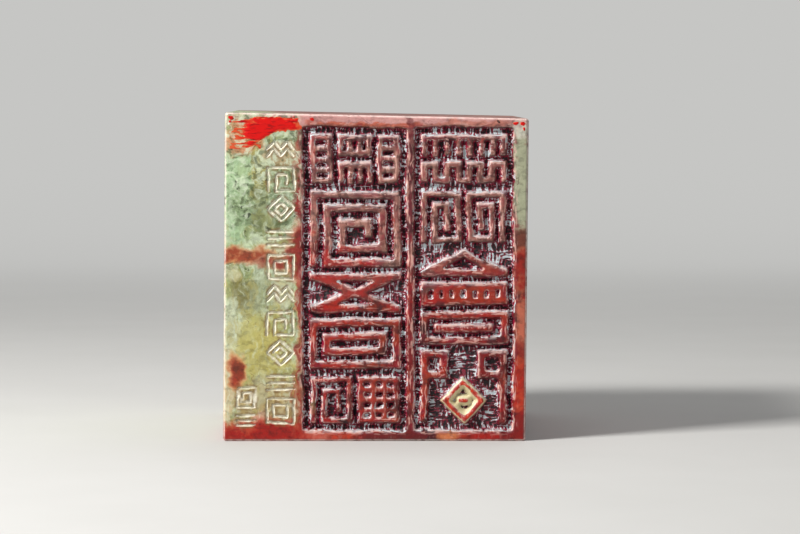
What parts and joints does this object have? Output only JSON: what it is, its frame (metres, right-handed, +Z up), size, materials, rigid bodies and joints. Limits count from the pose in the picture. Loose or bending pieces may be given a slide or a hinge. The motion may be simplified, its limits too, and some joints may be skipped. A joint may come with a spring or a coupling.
{
  "type": "seal stamp",
  "caption": "Square carved stone seal stamp with sunk relief panels on one side, a plain strip, a carved working face on its foot and dried vermilion paste.",
  "frame": {"origin": "middle of the working face, on the surface that the seal stands on", "axes": "+Z up through the stone's height, the carved front looks along -Y, the plain strip is on the -X side"},
  "size_m": [0.0706, 0.0701, 0.076],
  "materials": {
    "stone": "polished soft stone, pale green with red, orange and brown veins",
    "vermilion_paste": "dried oily seal paste, vermilion to dark crimson"
  },
  "bodies": {
    "root": {"seal_stone": "stone", "paste_left_panel": "vermilion_paste", "paste_right_panel": "vermilion_paste", "paste_working_face": "vermilion_paste", "paste_corner_smear": "vermilion_paste", "paste_dabs": "vermilion_paste"}
  },
  "joints": []
}
